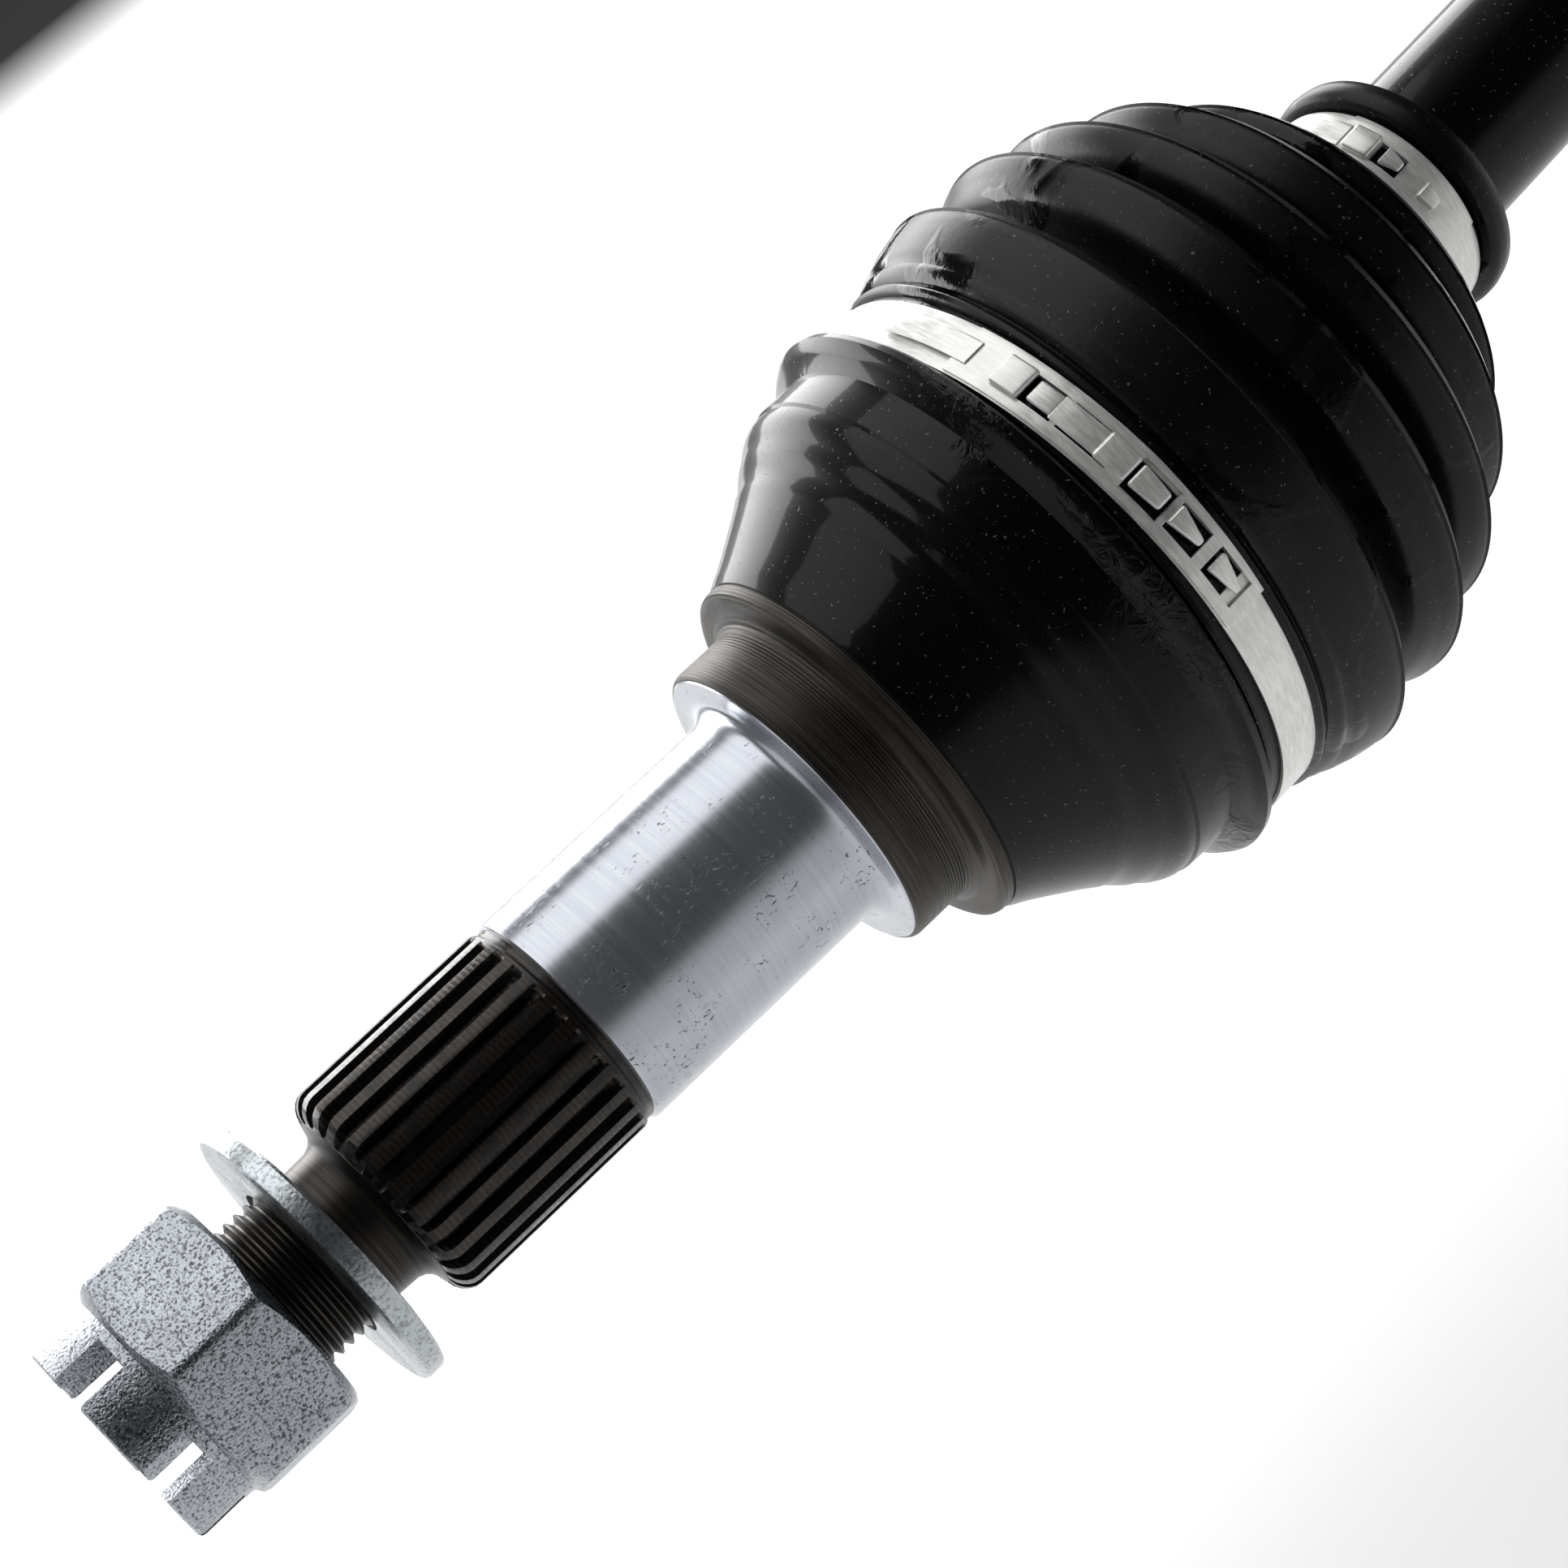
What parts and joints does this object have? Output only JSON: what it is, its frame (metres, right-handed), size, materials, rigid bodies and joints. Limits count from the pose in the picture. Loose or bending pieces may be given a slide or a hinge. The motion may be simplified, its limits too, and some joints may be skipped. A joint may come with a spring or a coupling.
{
  "type": "cv axle",
  "caption": "Half-shaft with a fixed constant-velocity joint, splined wheel stub, castle nut and washer, bellows boots, painted bar and a plunging inner joint.",
  "frame": {"origin": "on the wheel stub's axis at mid-length of the ground bearing journal", "axes": "+X along the stub towards the castle nut, +Z along the joints' bending hinge, upwards as the axle lies; the bar leans 8 degrees about +Z from the stub's line"},
  "size_m": [0.5755, 0.1282, 0.0836],
  "materials": {
    "painted_bell": "gloss black paint over a turned forging",
    "ground_steel": "cylindrically ground, bright",
    "phosphated_steel": "dark manganese phosphate, oiled",
    "zinc_plate": "clear zinc plate on forged steel",
    "clamp_steel": "bright stainless strip",
    "boot_rubber": "moulded, smooth, slightly greasy",
    "painted_bar": "gloss black paint on drawn bar",
    "hardened_steel": "hardened and tumbled",
    "ball_steel": "polished bearing steel",
    "spring_steel": "blued spring steel"
  },
  "bodies": {
    "wheel_stub": {"outer_race": "painted_bell", "outer_large_clamp": "clamp_steel"},
    "nut": {"castle_nut": "zinc_plate"},
    "washer": {"washer": "zinc_plate"},
    "outer_cage": {"outer_cage": "hardened_steel", "outer_ball_1": "ball_steel", "outer_ball_2": "ball_steel", "outer_ball_3": "ball_steel", "outer_ball_4": "ball_steel", "outer_ball_5": "ball_steel", "outer_ball_6": "ball_steel"},
    "bar": {"axle_shaft": "painted_bar", "outer_boot": "boot_rubber", "outer_inner_race": "hardened_steel", "outer_race_circlip": "spring_steel", "outer_small_clamp": "clamp_steel", "inner_inner_race": "hardened_steel", "inner_race_circlip": "spring_steel", "inner_small_clamp": "clamp_steel"},
    "inner_cage": {"inner_cage": "hardened_steel", "inner_ball_1": "ball_steel", "inner_ball_2": "ball_steel", "inner_ball_3": "ball_steel", "inner_ball_4": "ball_steel", "inner_ball_5": "ball_steel", "inner_ball_6": "ball_steel"},
    "inner_boot_body": {"inner_boot": "boot_rubber"},
    "gearbox_stub": {"inner_housing": "painted_bell", "inner_large_clamp": "clamp_steel", "inner_stopper_ring": "spring_steel", "inner_stub_circlip": "spring_steel"}
  },
  "joints": [
    {"name": "outer_bend", "type": "hinge", "parent": "wheel_stub", "child": "bar", "pos_m": [-0.047, 0, 0], "axis": [0, 0, 1], "range_deg": [-46, 30], "deforming": ["outer_boot"]},
    {"name": "outer_cage_turn", "type": "hinge", "parent": "wheel_stub", "child": "outer_cage", "pos_m": [-0.047, 0, 0], "axis": [0, 0, 1], "range_deg": [-23, 15]},
    {"name": "inner_bend", "type": "hinge", "parent": "bar", "child": "inner_boot_body", "pos_m": [-0.38369, -0.04732, 0], "axis": [0, 0, 1], "range_deg": [-18, 18], "deforming": ["inner_boot"]},
    {"name": "inner_cage_turn", "type": "hinge", "parent": "bar", "child": "inner_cage", "pos_m": [-0.38369, -0.04732, 0], "axis": [0, 0, 1], "range_deg": [-9, 9]},
    {"name": "inner_plunge", "type": "slide", "parent": "inner_boot_body", "child": "gearbox_stub", "axis": [-0.9903, -0.1392, 0], "range_m": [-0.015, 0.015], "deforming": ["inner_boot"]},
    {"name": "nut_travel", "type": "slide", "parent": "wheel_stub", "child": "nut", "axis": [1, 0, 0], "range_m": [-0.003, 0.035]},
    {"name": "washer_travel", "type": "slide", "parent": "nut", "child": "washer", "axis": [1, 0, 0], "range_m": [-0.001, 0.005]}
  ],
  "couplings": [
    {"joint": "outer_cage_turn", "follows": "outer_bend", "ratio": 0.5},
    {"joint": "inner_cage_turn", "follows": "inner_bend", "ratio": 0.5}
  ]
}
